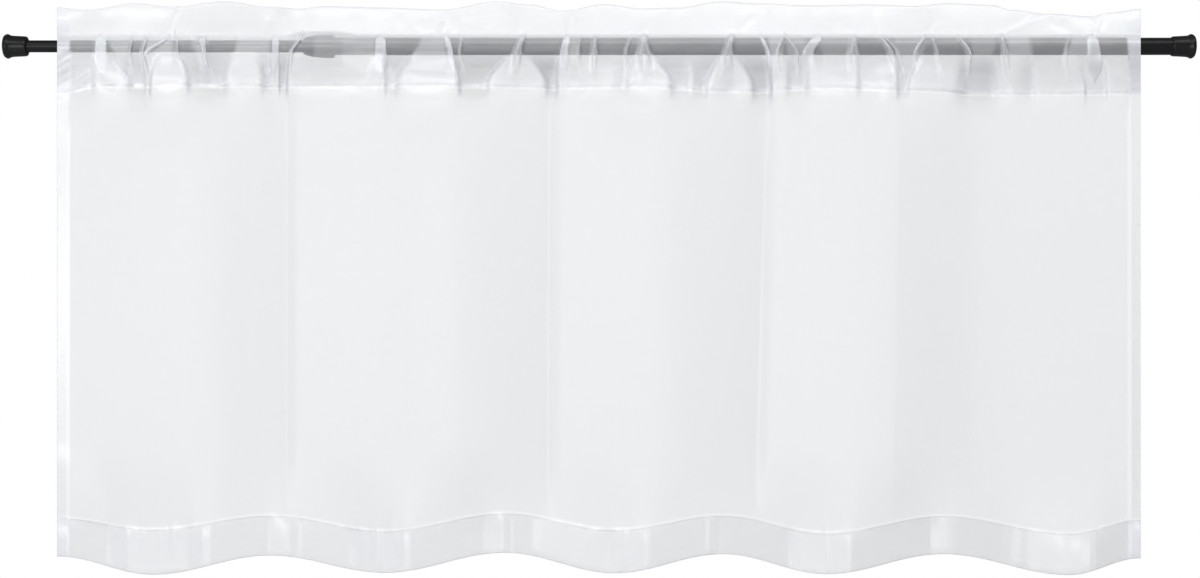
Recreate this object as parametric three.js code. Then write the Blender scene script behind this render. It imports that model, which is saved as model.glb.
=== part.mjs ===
// A sheer cafe curtain gathered on a telescoping tension rod.
//
// Millimetres, +Z up. X runs along the rod from left to right, the curtain's front
// faces -Y, and the origin is the centre of the left cap's wall face, on the rod's axis.
import * as THREE from 'three';

// ---------------------------------------------------------------- rod sizes
const ROD_LENGTH = 1308;
const ROUND_SIDES = 32;
const CURVE_POINTS = 5;
const FIT_GAP = 0.3;

const OUTER_TUBE = { radius: 9.5, wall: 0.6, mouth: 334 };
const INNER_TUBE = { radius: 6.6, wall: 0.6, length: 1000 };

// Bell-shaped cap: a flat face, a rounded rim, a waist and a neck with a rounded mouth.
const CAP = { face: 11.9, rim: 13.6, rimAt: 3, flare: 2, waist: 11.8, waistAt: 7.5, neck: 10.9 };
const CAP_LENGTH = 25;
const CAP_MOUTH_ROUND = 3;
const CAP_FLOOR = 4;

// Flared sleeve that guides the inner tube into the mouth of the outer one.
const COLLAR = { start: 329, end: 362, nose: 9.2, round: 2, shoulder: 11.7, shoulderAt: 11, widest: 12.8 };
const COLLAR_HEEL = 3;

// ------------------------------------------------------------ curtain sizes
const CLOTH = { left: 57.5, right: 1249.5 };
const SINGLE = 1.5;
const DOUBLE = 3;
const SIDE_HEM = { width: 14, step: 1, gain: 1.5 };
const TUNNEL = 10.3;
const COLLAR_CLEARANCE = 2.6;
const COLLAR_RAMP = 26;
const COLUMN_PITCH = 23;

// Heights of the flat, unfolded section; the tables below bend each one to its real line.
const FLAT = { top: 44, headSeam: 13, foot: -46, hemSeam: -525, edge: -571 };

// Half of the section's depth at each height, from the ruffle's top edge to the hem.
const HEADER_ROWS = [
  { z: FLAT.top, half: DOUBLE / 2 },
  { z: 34, half: DOUBLE / 2 },
  { z: 23, half: DOUBLE / 2 },
  { z: FLAT.headSeam, half: 1.8 },
];
const POCKET_ROWS = [
  { z: 9.5, half: 6.9 },
  { z: 3.6, half: 11.3 },
  { z: -3.6, half: 11.3 },
  { z: -12, half: 9.7 },
  { z: -22, half: 7.7 },
  { z: -34, half: 5 },
];
const BODY_ROWS = [
  { z: FLAT.foot, half: 1.7 },
  { z: -51, half: SINGLE / 2 },
  { z: -85, half: SINGLE / 2 },
  { z: -140, half: SINGLE / 2 },
  { z: -220, half: SINGLE / 2 },
  { z: -320, half: SINGLE / 2 },
  { z: -425, half: SINGLE / 2 },
  { z: FLAT.hemSeam + 2, half: SINGLE / 2 },
  { z: FLAT.hemSeam - 1, half: DOUBLE / 2 },
  { z: FLAT.edge, half: DOUBLE / 2 },
];
const TUNNEL_ROWS = [
  { z: 8.3, half: 6.1 },
  { z: 3.2, half: 9.8 },
  { z: -3.2, half: 9.8 },
  { z: -12, half: 8.2 },
  { z: -22, half: 6.2 },
  { z: -34, half: 3.5 },
];
const TUNNEL_BOTTOM = -42.5;

// The ruffle's top edge: its height, and how far it leans back (+) or forward (-).
const RUFFLE = [
  { x: 57.5, height: 42, lean: 2 },
  { x: 89, height: 39, lean: -4 },
  { x: 142, height: 46.4, lean: 3 },
  { x: 184, height: 42.6, lean: -4 },
  { x: 243, height: 48, lean: 3 },
  { x: 290, height: 42, lean: -2 },
  { x: 325, height: 41.7, lean: -4 },
  { x: 351, height: 45, lean: 1 },
  { x: 413, height: 43.5, lean: 2 },
  { x: 482, height: 40.5, lean: -5 },
  { x: 540, height: 49, lean: 4 },
  { x: 577, height: 46.4, lean: 2 },
  { x: 613, height: 39, lean: -5 },
  { x: 659, height: 47, lean: 3 },
  { x: 701, height: 42.2, lean: -4 },
  { x: 737, height: 43, lean: -2 },
  { x: 789, height: 50.6, lean: 4 },
  { x: 834, height: 48, lean: 1 },
  { x: 885, height: 45.8, lean: -3 },
  { x: 951, height: 47, lean: 3 },
  { x: 1002, height: 44.8, lean: -3 },
  { x: 1037, height: 48.5, lean: 3 },
  { x: 1087, height: 46.4, lean: 0 },
  { x: 1108, height: 40.5, lean: -4 },
  { x: 1146, height: 36.7, lean: -6 },
  { x: 1194, height: 34.2, lean: 3 },
  { x: 1214, height: 38, lean: -3 },
  { x: 1249.5, height: 42.2, lean: 2 },
];

// The seam under the rod sags unevenly along the curtain.
const POCKET_SEAM = [
  { x: 57.5, height: -50 },
  { x: 105, height: -43.5 },
  { x: 330, height: -43 },
  { x: 700, height: -44.5 },
  { x: 790, height: -48.5 },
  { x: 900, height: -45.5 },
  { x: 985, height: -48.5 },
  { x: 1110, height: -51.5 },
  { x: 1249.5, height: -51 },
];

// The body's folds: crests to the front (depth below 0) and to the back, each with the
// heights of the hem's seam and of its lower edge.
const WAVES = [
  { x: 57.5, depth: 14, seam: -520, edge: -564 },
  { x: 163, depth: -28, seam: -530, edge: -578 },
  { x: 292, depth: 26, seam: -519, edge: -564 },
  { x: 418, depth: -26, seam: -530, edge: -577 },
  { x: 548, depth: 30, seam: -516, edge: -561 },
  { x: 673, depth: -29, seam: -529, edge: -576 },
  { x: 794, depth: 27, seam: -519, edge: -563 },
  { x: 905, depth: -31, seam: -532, edge: -576 },
  { x: 1032, depth: 27, seam: -519, edge: -563 },
  { x: 1168, depth: -25, seam: -533, edge: -578 },
  { x: 1249.5, depth: 10, seam: -522, edge: -567 },
];
const WAVE_AT_POCKET = 0.28;

// The gathers pinched by the rod: where each crosses the ruffle's seam, the pocket's seam
// and the hem, its half widths on the rod and at the pocket's seam, how far its crest
// stands out, the share of the ruffle it climbs, and how far it runs on down the body.
const GATHERS = [
  { head: 106, foot: 104, hem: 104, narrow: 7, fan: 10, rise: 5, up: 0.6, down: 60 },
  { head: 155, foot: 151, hem: 151, narrow: 5, fan: 9, rise: 6, up: 0.5, down: 50 },
  { head: 187, foot: 191, hem: 191, narrow: 4, fan: 7, rise: 4, up: 0.6, down: 40 },
  { head: 215, foot: 219, hem: 219, narrow: 5, fan: 8, rise: 4, up: 0.4, down: 60 },
  { head: 297, foot: 292, hem: 288, narrow: 5, fan: 6, rise: 5, up: 0.7, down: 50 },
  { head: 328, foot: 311, hem: 311, narrow: 4, fan: 6, rise: 5, up: 0.5, down: 430 },
  { head: 413, foot: 413, hem: 413, narrow: 6, fan: 7, rise: 5, up: 0.6, down: 40 },
  { head: 488, foot: 502, hem: 502, narrow: 5, fan: 8, rise: 5, up: 0.4, down: 60 },
  { head: 568, foot: 568, hem: 566, narrow: 4, fan: 24, rise: 6, up: 0.4, down: 60 },
  { head: 614, foot: 606, hem: 597, narrow: 5, fan: 7, rise: 5, up: 0.6, down: 430 },
  { head: 649, foot: 646, hem: 646, narrow: 4, fan: 7, rise: 4, up: 0.5, down: 40 },
  { head: 702, foot: 704, hem: 704, narrow: 6, fan: 20, rise: 5, up: 0.5, down: 50 },
  { head: 798, foot: 797, hem: 790, narrow: 4, fan: 22, rise: 6, up: 0.4, down: 60 },
  { head: 858, foot: 847, hem: 827, narrow: 6, fan: 8, rise: 7, up: 0.7, down: 470 },
  { head: 897, foot: 884, hem: 884, narrow: 6, fan: 8, rise: 5, up: 0.8, down: 40 },
  { head: 934, foot: 935, hem: 935, narrow: 5, fan: 7, rise: 4, up: 0.4, down: 40 },
  { head: 963, foot: 984, hem: 980, narrow: 5, fan: 7, rise: 5, up: 0.5, down: 320 },
  { head: 1014, foot: 1004, hem: 1004, narrow: 4, fan: 6, rise: 4, up: 0.4, down: 60 },
  { head: 1051, foot: 1066, hem: 1072, narrow: 5, fan: 8, rise: 5, up: 0.5, down: 200 },
  { head: 1098, foot: 1107, hem: 1107, narrow: 4, fan: 8, rise: 4, up: 0.5, down: 60 },
  { head: 1198, foot: 1200, hem: 1200, narrow: 7, fan: 9, rise: 6, up: 1, down: 60 },
];
const REAR_SHARE = 0.6;
const SEAM_SHARE = 0.45;
const FULL_RISE_BY = 1 / 3;
const RUFFLE_SPREAD = 1.6;

// ---------------------------------------------------------------- materials
const material = (color, roughness, metalness) =>
  new THREE.MeshStandardMaterial({ color, roughness, metalness });
const voile = material(0xf1f2f4, 0.85, 0);
const blackEnamel = material(0x0d0d0e, 0.28, 0.6);
const blackPlastic = material(0x0b0b0c, 0.22, 0);

// ----------------------------------------------------------------- helpers
const { lerp, clamp } = THREE.MathUtils;
const ease = (t) => 0.5 - 0.5 * Math.cos(Math.PI * clamp(t, 0, 1));

// The value of one column of a table at x, swelling smoothly from row to row.
function along(table, key, x) {
  const next = table.findIndex((row) => row.x >= x);
  if (next <= 0) return table[next === 0 ? 0 : table.length - 1][key];
  const [a, b] = [table[next - 1], table[next]];
  return lerp(a[key], b[key], ease((x - a.x) / (b.x - a.x)));
}

// A turned piece: the profile holds (radius, place along the rod).
function turned(name, profile, finish) {
  const mesh = new THREE.Mesh(new THREE.LatheGeometry(profile, ROUND_SIDES), finish);
  mesh.name = name;
  mesh.rotation.z = -Math.PI / 2;
  return mesh;
}

// ---------------------------------------------------------------- the rod
function tube(name, radius, wall, start, end) {
  const bore = radius - wall;
  const ring = [[bore, start], [radius, start], [radius, end], [bore, end], [bore, start]];
  return turned(name, ring.map(([r, s]) => new THREE.Vector2(r, s)), blackEnamel);
}

// A cap seen from its wall face: solid up to its floor, then bored to take a tube.
function endCap(name, tubeRadius) {
  const bore = tubeRadius + FIT_GAP;
  const lip = (CAP.neck + bore) / 2;
  const outline = new THREE.Path();
  outline.moveTo(0, 0);
  outline.lineTo(CAP.face, 0);
  outline.quadraticCurveTo(CAP.rim, 0, CAP.rim, CAP.rimAt);
  outline.bezierCurveTo(
    CAP.rim, CAP.rimAt + CAP.flare,
    CAP.waist, CAP.waistAt - CAP.flare,
    CAP.waist, CAP.waistAt,
  );
  outline.lineTo(CAP.neck, CAP_LENGTH - CAP_MOUTH_ROUND);
  outline.quadraticCurveTo(CAP.neck, CAP_LENGTH, lip, CAP_LENGTH);
  outline.lineTo(bore, CAP_LENGTH);
  outline.lineTo(bore, CAP_FLOOR);
  outline.lineTo(0, CAP_FLOOR);
  return turned(name, outline.getPoints(CURVE_POINTS), blackPlastic);
}

// The collar's nose slides on the inner tube, and its heel sits over the outer tube.
function collar() {
  const noseBore = INNER_TUBE.radius + FIT_GAP;
  const heelBore = OUTER_TUBE.radius + FIT_GAP;
  const step = OUTER_TUBE.mouth - FIT_GAP;
  const { start, end, nose, round, shoulder, shoulderAt, widest } = COLLAR;
  const heelStart = end - COLLAR_HEEL;
  const outline = new THREE.Path();
  outline.moveTo(noseBore, start);
  outline.quadraticCurveTo(nose, start, nose, start + round);
  outline.lineTo(shoulder, start + shoulderAt);
  outline.quadraticCurveTo(widest, (start + shoulderAt + heelStart) / 2, widest, heelStart);
  outline.quadraticCurveTo(widest, end, heelBore, end);
  outline.lineTo(heelBore, step);
  outline.lineTo(noseBore, step);
  outline.lineTo(noseBore, start);
  return turned('rod_collar', outline.getPoints(CURVE_POINTS), blackPlastic);
}

function rod() {
  const left = endCap('end_cap_left', INNER_TUBE.radius);
  const right = endCap('end_cap_right', OUTER_TUBE.radius);
  right.position.x = ROD_LENGTH;
  right.rotation.z = Math.PI / 2;
  const innerStart = CAP_FLOOR + FIT_GAP;
  const outerEnd = ROD_LENGTH - CAP_FLOOR - FIT_GAP;
  const inner = INNER_TUBE;
  const outer = OUTER_TUBE;
  return [
    left,
    tube('rod_inner_tube', inner.radius, inner.wall, innerStart, innerStart + inner.length),
    collar(),
    tube('rod_outer_tube', outer.radius, outer.wall, outer.mouth, outerEnd),
    right,
  ];
}

// -------------------------------------------------------------- the curtain
// Upright lines of points: three to each gather, some for the side hems, and as many
// between them as keep the spacing under the pitch.
function curtainColumns() {
  const plain = (x) => ({ head: x, foot: x, hem: x, side: 0 });
  const inner = SIDE_HEM.width;
  const fixed = [
    ...[CLOTH.left, CLOTH.left + inner - SIDE_HEM.step, CLOTH.left + inner].map(plain),
    ...GATHERS.flatMap((gather) => [-1, 0, 1].map((side) => ({ ...gather, gather, side }))),
    ...[CLOTH.right - inner, CLOTH.right - inner + SIDE_HEM.step, CLOTH.right].map(plain),
  ];
  const columns = [fixed[0]];
  for (let i = 1; i < fixed.length; i += 1) {
    const [before, after] = [fixed[i - 1], fixed[i]];
    const gap = columnX(after, FLAT.headSeam) - columnX(before, FLAT.headSeam);
    const parts = before.gather && before.gather === after.gather ? 1 : Math.ceil(gap / COLUMN_PITCH);
    for (let part = 1; part < parts; part += 1) columns.push({ before, after, share: part / parts });
    columns.push(after);
  }
  return columns;
}

// Where a column stands at a height of the flat section.
function columnX(column, z) {
  if (column.before) return lerp(columnX(column.before, z), columnX(column.after, z), column.share);
  const inPocket = clamp((FLAT.headSeam - z) / (FLAT.headSeam - FLAT.foot), 0, 1);
  const inBody = clamp((FLAT.foot - z) / (FLAT.foot - FLAT.edge), 0, 1);
  const centre = lerp(lerp(column.head, column.foot, inPocket), column.hem, inBody);
  if (!column.gather) return centre;
  const inRuffle = clamp((z - FLAT.headSeam) / (FLAT.top - FLAT.headSeam), 0, 1);
  const { narrow, fan } = column.gather;
  return centre + column.side * lerp(narrow, fan, inPocket) * lerp(1, RUFFLE_SPREAD, inRuffle);
}

// How far the crest of a gather stands forward at a height of the flat section.
function crest(column, z) {
  if (!column.gather || column.side !== 0) return 0;
  const { rise, up, down } = column.gather;
  if (z >= FLAT.headSeam) {
    const climbed = (z - FLAT.headSeam) / ((FLAT.top - FLAT.headSeam) * up);
    return rise * SEAM_SHARE * (1 - ease(climbed));
  }
  if (z >= FLAT.foot) {
    const fromSeam = Math.min(FLAT.headSeam - z, z - FLAT.foot) / (FLAT.headSeam - FLAT.foot);
    return rise * lerp(SEAM_SHARE, 1, ease(fromSeam / FULL_RISE_BY));
  }
  return rise * SEAM_SHARE * (1 - ease((FLAT.foot - z) / down));
}

// The tunnel is a snug fit on the rod and opens out over the collar.
function girth(x) {
  const beyond = Math.max(COLLAR.start - x, x - COLLAR.end, 0);
  const wide = COLLAR.widest + COLLAR_CLEARANCE;
  return lerp(wide, TUNNEL, ease(beyond / COLLAR_RAMP)) / TUNNEL;
}

function clothHeight(x, z) {
  const seam = FLAT.headSeam * girth(x);
  const foot = along(POCKET_SEAM, 'height', x);
  if (z >= FLAT.headSeam) {
    return lerp(seam, along(RUFFLE, 'height', x), (z - FLAT.headSeam) / (FLAT.top - FLAT.headSeam));
  }
  if (z >= 0) return z * girth(x);
  if (z >= FLAT.foot) return z * lerp(girth(x), foot / FLAT.foot, z / FLAT.foot);
  const hemSeam = along(WAVES, 'seam', x);
  if (z >= FLAT.hemSeam) return lerp(foot, hemSeam, (FLAT.foot - z) / (FLAT.foot - FLAT.hemSeam));
  return lerp(hemSeam, along(WAVES, 'edge', x), (FLAT.hemSeam - z) / (FLAT.hemSeam - FLAT.edge));
}

// The depth of the middle of the cloth, forward being negative.
function clothDepth(column, x, y, z) {
  const pinch = crest(column, z);
  if (z >= FLAT.headSeam) {
    const upRuffle = (z - FLAT.headSeam) / (FLAT.top - FLAT.headSeam);
    return along(RUFFLE, 'lean', x) * upRuffle - pinch;
  }
  if (z > FLAT.foot) {
    const belowRod = ease((TUNNEL + z) / (TUNNEL + FLAT.foot));
    const drift = along(WAVES, 'depth', x) * WAVE_AT_POCKET * (z < -TUNNEL ? belowRod : 0);
    return drift + (y < 0 ? -pinch : 0) + (y > 0 ? pinch * lerp(REAR_SHARE, -1, belowRod) : 0);
  }
  const fall = ease((FLAT.foot - z) / (FLAT.foot - FLAT.hemSeam));
  return along(WAVES, 'depth', x) * lerp(WAVE_AT_POCKET, 1, fall) - pinch;
}

function clothHalf(x, y, z) {
  if (z >= FLAT.headSeam) return y;
  if (z > FLAT.foot) return y * lerp(girth(x), 1, clamp(z / FLAT.foot, 0, 1));
  const fromSide = Math.min(x - CLOTH.left, CLOTH.right - x);
  const hemmed = fromSide < SIDE_HEM.width - SIDE_HEM.step / 2 && z > FLAT.hemSeam;
  return y * (hemmed ? SIDE_HEM.gain : 1);
}

// The section from the front, down one side and up the other, round the rod's tunnel.
function curtainSection() {
  const rows = [...HEADER_ROWS, ...POCKET_ROWS, ...BODY_ROWS];
  const ring = (list) => [
    ...list.map(({ z, half }) => new THREE.Vector2(-half, z)),
    ...list.toReversed().map(({ z, half }) => new THREE.Vector2(half, z)),
  ];
  const section = new THREE.Shape(ring(rows));
  const tunnel = ring(TUNNEL_ROWS);
  tunnel.splice(TUNNEL_ROWS.length, 0, new THREE.Vector2(0, TUNNEL_BOTTOM));
  tunnel.push(new THREE.Vector2(0, TUNNEL));
  section.holes.push(new THREE.Path(tunnel));
  return section;
}

function curtain() {
  const columns = curtainColumns();
  const steps = columns.length - 1;
  const sheet = new THREE.ExtrudeGeometry(curtainSection(), { depth: 1, steps, bevelEnabled: false });
  const points = sheet.attributes.position;
  for (let i = 0; i < points.count; i += 1) {
    const [y, z] = [points.getX(i), points.getY(i)];
    const column = columns[Math.round(points.getZ(i) * steps)];
    const x = columnX(column, z);
    const depth = clothDepth(column, x, y, z) + clothHalf(x, y, z);
    points.setXYZ(i, x, depth, clothHeight(x, z));
  }
  sheet.computeVertexNormals();
  const mesh = new THREE.Mesh(sheet, voile);
  mesh.name = 'curtain_panel';
  return mesh;
}

const model = new THREE.Group();
model.add(curtain(), ...rod());
export default model;
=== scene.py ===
"""Looks for a sheer cafe curtain gathered on a tension rod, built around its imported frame.

Metres in Blender's objects, and millimetres in the tables of the cloth and of the rod. X runs
along the rod, the curtain's front faces -Y, +Z is up, and the rod's axis is at y = z = 0.
"""
import math

import bmesh
import bpy
import numpy as np
from bpy.props import FloatProperty, FloatVectorProperty, PointerProperty
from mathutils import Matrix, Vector


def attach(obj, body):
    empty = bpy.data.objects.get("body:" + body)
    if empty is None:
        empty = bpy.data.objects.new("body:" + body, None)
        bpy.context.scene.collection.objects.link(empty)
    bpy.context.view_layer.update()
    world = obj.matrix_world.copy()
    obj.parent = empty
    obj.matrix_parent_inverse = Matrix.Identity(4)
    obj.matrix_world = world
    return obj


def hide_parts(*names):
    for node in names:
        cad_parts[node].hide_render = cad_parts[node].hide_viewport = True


bl_info = {
    "name": "Cafe curtain",
    "version": (1, 0, 0),
    "blender": (4, 5, 0),
    "location": "3D View > Sidebar > Cafe curtain",
    "description": "Dresses a sheer cafe curtain and its tension rod",
    "category": "Add Mesh",
}

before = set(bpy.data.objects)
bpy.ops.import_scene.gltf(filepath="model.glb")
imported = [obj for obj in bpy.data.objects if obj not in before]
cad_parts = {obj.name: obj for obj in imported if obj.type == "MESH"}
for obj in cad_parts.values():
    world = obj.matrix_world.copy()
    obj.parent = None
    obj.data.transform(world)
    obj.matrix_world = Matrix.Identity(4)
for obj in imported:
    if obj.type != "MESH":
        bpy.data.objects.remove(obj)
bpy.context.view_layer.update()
MM = 0.001


def named(columns, *rows):
    """A table as one array for each named column. Short rows go on with zeros."""
    full = [[*row, *[0] * (len(columns) - len(row))] for row in rows]
    return dict(zip(columns, np.array(full, float).T))


# ------------------------ the cloth, in millimetres
LEFT, RIGHT = 57.5, 1249.5
MIDDLE = (LEFT + RIGHT) / 2
SIDE_HEM, EDGE_TURN = 14, 0.4
BETWEEN_LAYERS = 0.35

# Every millimetre along the rod and a little past it, for the tables that are blurred.
EACH_MM = np.arange(LEFT - 60, RIGHT + 60)

# Heights of the flat section: the ruffle's edge and seam, the rod's underside, the pocket's seam,
# and the hem's seam and edge. The tables of lines below bend the seams and edges. Then the width
# of a turned edge, and the height by which the gathers' cloth is spread evenly.
TOP, HEAD_SEAM, ROD_UNDER, FOOT = 44, 13, -10, -46
HEM_SEAM, HEM_EDGE = -525, -571
TURNED_EDGE = 2.5
EVEN_BY = -150

# The cloth's run from the raw edge of its hem, up the front, over the top and down the back:
# the side it is on (-1 front, 1 back, 0 between), rows, and the heights where it starts and ends.
RUN = named(
    ("side", "rows", "start", "end"),
    (0, 2, HEM_SEAM - TURNED_EDGE, HEM_SEAM - 0.6),
    (1, 2, HEM_SEAM, HEM_SEAM - 1),
    (1, 5, HEM_SEAM - 5, HEM_EDGE + 1),
    (0, 1, HEM_EDGE, HEM_EDGE),
    (-1, 7, HEM_EDGE + 1, HEM_SEAM - 4),
    (-1, 4, HEM_SEAM - 2, HEM_SEAM + 4),
    (-1, 37, HEM_SEAM + 14, -66),
    (-1, 6, -61, FOOT - 1),
    (-1, 28, FOOT, HEAD_SEAM),
    (-1, 11, HEAD_SEAM + 2, TOP - 0.6),
    (0, 1, TOP, TOP),
    (1, 9, TOP - 0.6, HEAD_SEAM + 2.5),
    (1, 19, HEAD_SEAM, FOOT + 2.2),
    (1, 2, FOOT + 0.8, FOOT),
    (0, 1, FOOT - 0.4, FOOT - 0.4),
    (0, 2, FOOT + 0.6, FOOT + TURNED_EDGE),
)

# The grid's columns: how far apart they are in flat cloth and in a gather, the fewest and the
# most in a gather, and those of a turned side hem. Then the least cloth between two gathers, and
# the least that a step between two rows counts for in the cut.
FLAT_PITCH, GATHER_PITCH = 3.6, 1.5
GATHER_COLUMNS, TURNED_COLUMNS = (6, 26), 5
LEAST_FLAT, LEAST_ROW = 1.5, 0.6

# Half of the gap between the front and back layers, away from the rod.
GAP = named(
    ("z", "half"),
    (HEM_EDGE, 0.5), (-560, 0.9), (-535, 0.9), (HEM_SEAM, 0.5), (HEM_SEAM + 3, 0),
    (FOOT - 3, 0), (FOOT, 0.5), (HEAD_SEAM, 0.5), (20, 1.2), (32, 1.7), (41, 1.1), (TOP, 0.6),
)

# Radius of the pocket round the rod, and how far above the rod its seam keeps.
SNUG = named(
    ("x", "radius"),
    (LEFT, 7.5), (304, 7.6), (326, 13.4), (364, 13.5), (392, 10), (RIGHT, 10),
)
SEAM_ABOVE_ROD = 3.1

# The ruffle's top edge: its height, and how far it leans back (+) or forward (-).
RUFFLE = named(
    ("x", "height", "lean"),
    (57.5, 42, -5), (89, 39, -8), (142, 46.4, -6), (184, 42.6, -8), (243, 48, -12),
    (290, 42, -10), (325, 41.7, 3), (351, 45, 6), (413, 43.5, 7), (482, 40.5, 1),
    (540, 49, -2), (577, 46.4, 3), (613, 39, 1), (659, 47, 6), (701, 42.2, 4), (737, 43, 5),
    (789, 50.6, 9), (834, 48, 8), (885, 45.8, 6), (951, 47, 8), (1002, 44.8, 3),
    (1037, 48.5, 8), (1087, 46.4, 8), (1108, 40.5, 5), (1146, 36.7, 6), (1194, 34.2, 9),
    (1214, 38, 7), (1249.5, 42.2, 8),
)

# The pocket's seam under the rod.
POCKET_SEAM = named(
    ("x", "height"),
    (57.5, -50), (105, -43.5), (330, -43), (700, -44.5), (790, -48.5), (900, -45.5),
    (985, -48.5), (1110, -51.5), (1249.5, -51),
)

# The hem: the height of its seam and edge, and where it swings to the front (-) and back (+).
# The swings are blurred above the seam and sharpen over a short height round it.
HEM_WAVES = named(
    ("x", "seam", "edge"),
    (57.5, -519, -561), (163, -532, -581), (292, -516.5, -560), (418, -533.5, -579),
    (550, -514, -557), (671, -532.5, -579.5), (790, -516.5, -558.5), (904, -536, -580.5),
    (1032, -517, -558.5), (1171, -536.5, -581.5), (1249.5, -521, -563),
)
HEM_SWINGS = named(
    ("x", "depth"),
    (57.5, -14), (70, -16), (111, 9), (117, 9), (136, 0), (200, -9), (218, -17), (226, -17),
    (290, 7), (308, 2), (380, 17), (386, 17), (398, 9), (422, -2), (440, -14), (446, -14),
    (528, 11), (545, 6), (549, 6), (580, 12), (592, 12), (664, 4), (688, -6), (704, -14),
    (710, -14), (858, 15), (864, 15), (876, 8), (912, -6), (928, -16), (933, -16), (1018, 8),
    (1042, 4), (1048, 4), (1096, 11), (1106, 11), (1125, 9), (1184, -10), (1194, -12),
    (1200, -12), (1237, 0), (1249.5, -6),
)

# The folds of the body: how steeply the cloth falls back (+) or comes forward (-) from left to
# right, at its place under the pocket and at its place on the hem's seam. A jump is a crease.
# They start from a depth at the left edge, grow from nothing under the rod to a share at the
# pocket's seam and to all of it below, and give way to the hem's swings.
FALLS = named(
    ("top", "hem", "fall"),
    (57.5, 57.5, -0.1), (110, 110, -0.14), (180, 180, -0.12), (222, 222, 0.08),
    (250, 250, 0.34), (309, 309, 0.42), (311, 311, -0.6), (319, 319, -0.45),
    (324, 324, -0.1), (385, 385, -0.12), (440, 440, -0.24), (480, 480, -0.18),
    (506, 502, 0.14), (540, 535, 0.34), (598, 596, 0.46), (600, 598, -0.75),
    (610, 608, -0.5), (616, 614, -0.2), (700, 700, -0.22), (726, 722, -0.04),
    (756, 748, 0.22), (800, 790, 0.34), (838, 825, 0.44), (840, 827, -0.8),
    (848, 835, -0.6), (855, 842, -0.22), (915, 910, -0.26), (960, 955, -0.12),
    (983, 976, 0), (985, 978, 0.3), (1030, 1020, 0.36), (1062, 1056, 0.3),
    (1078, 1074, 0.06), (1120, 1120, -0.06), (1249.5, 1249.5, -0.08),
)
FALLS_FROM = 4
FOLDS_FROM_ROD, FOLDS_AT_POCKET, FOLDS_FULL_BY = 34, 0.6, 70
HEM_TAKES_OVER = (-440, -550)
HEM_SHARPENS, HEM_BLUR = 16, 16

# A fold that stands nearer looks larger, so each point is drawn in, by this share for every
# millimetre forward, towards the curtain's middle and the height that it is seen from. Heights
# are drawn in below the pocket alone, softly at first.
DRAWN_IN, SEEN_FROM, DRAWN_BY = 1 / 2200, -267, 90

# The gathers on the rod: where each crosses the ruffle's seam, the rod's underside and the
# pocket's seam, the cloth it takes up, its width at the ruffle's seam and on the rod, whether
# it is a pleat laid to the left (-1) or right (1) or leans by a share of that, and how much of
# it is left at the pocket's seam. Then how far a whole share leans, how much a gather and a pleat
# draw in on the rod, how much wider a gather opens, and the heights over which they open out.
GATHERS = named(
    ("seam", "rod", "foot", "take", "head", "narrow", "lay", "held"),
    (105.5, 105.5, 107, 40, 13.6, 13.6, -1, 0.1),
    (140, 137.5, 142, 9, 3, 2.5),
    (155.5, 151.5, 157, 11, 4, 3),
    (184, 158, 161, 16, 5, 3.5, -0.6),
    (189.5, 190, 203, 7, 3, 2.5),
    (216.5, 219, 222, 26, 18, 2.5),
    (298, 297.5, 297, 26, 8.6, 8.6, -1, 0.2),
    (327, 314.5, 310, 12, 4, 3.5, 0.2, 0.2),
    (413, 413.5, 413, 38, 12.8, 12.8, 1, 0.2),
    (486, 490, 497, 20, 6.6, 6.6, 1, 0.2),
    (503.5, 500.5, 506, 7, 3, 2.5),
    (570, 564.5, 561, 22, 7, 8),
    (618.5, 615, 613, 26, 9, 9, -1, 0.2),
    (633, 631, 636, 7, 3, 2.5),
    (649.5, 649, 647, 13, 5, 5.5),
    (689, 683.5, 684, 5, 2.5, 2),
    (703, 703.5, 706, 28, 10, 13),
    (799.5, 796, 796, 24, 8, 9),
    (832, 839.5, 845, 15, 5, 5, 1, 0.3),
    (856.5, 850, 853, 7, 2.5, 2.5),
    (860, 872, 874, 7, 2.5, 2.5),
    (894.5, 883.5, 880, 38, 13, 12.5, -1, 0.1),
    (934.3, 934, 936, 18, 8.5, 9.5),
    (962, 975, 986, 12, 4, 5, 0.3, 0.2),
    (967.5, 983, 992, 7, 3, 3),
    (1013, 1002.5, 1000, 12, 4, 4, -0.3),
    (1020, 1026, 1032, 6, 3, 2.5),
    (1048, 1061, 1058, 10, 4, 3, 0.4),
    (1096.5, 1101, 1105, 14, 4, 6),
    (1171.5, 1167.5, 1170, 5, 2, 2),
    (1196, 1198.5, 1199, 44, 14, 14.8, 1, 0.05),
)
LAID_OVER = 1.25
WAIST, LAID_WAIST, FLARE = 0.34, 0.1, 1.5
GATHERS_END, RUFFLE_OPENS_BY, POCKET_OPENS_BY, FOLDS_LOST_BY = 3, 11, 34, 12

# A gather is a wave whose slope swings by its bend: the most bend, how finely that is tabled,
# the steps for each column and the narrowest share of its cloth that it folds to. A laid pleat
# stands out by its depth for each layer that lies under it from its edge on.
MOST_BEND, BENDS, BEND_STEPS, FINE_STEPS, NARROWEST = 2.3, 93, 240, 8, 0.02
LAID_DEPTH = 1.1
LAID_SHARES, LAID_UNDER = (0, 0.34, 0.64, 0.7, 1), (0, 0, 1, 2, 0)

# How a gather's ridge shows in the back layer, backwards (+) or forward as in the front (-): in
# the ruffle, round the rod, and where the pocket is sewn, with the heights that each change takes.
RUFFLE_FOLLOWS, ROD_FOLLOWS, SEAM_FOLLOWS = -0.85, 0.6, -1
ROD_FOLLOWS_BY = 12
SEWN_FROM, SEWN_BY = ROD_UNDER - 12, 22

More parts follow.
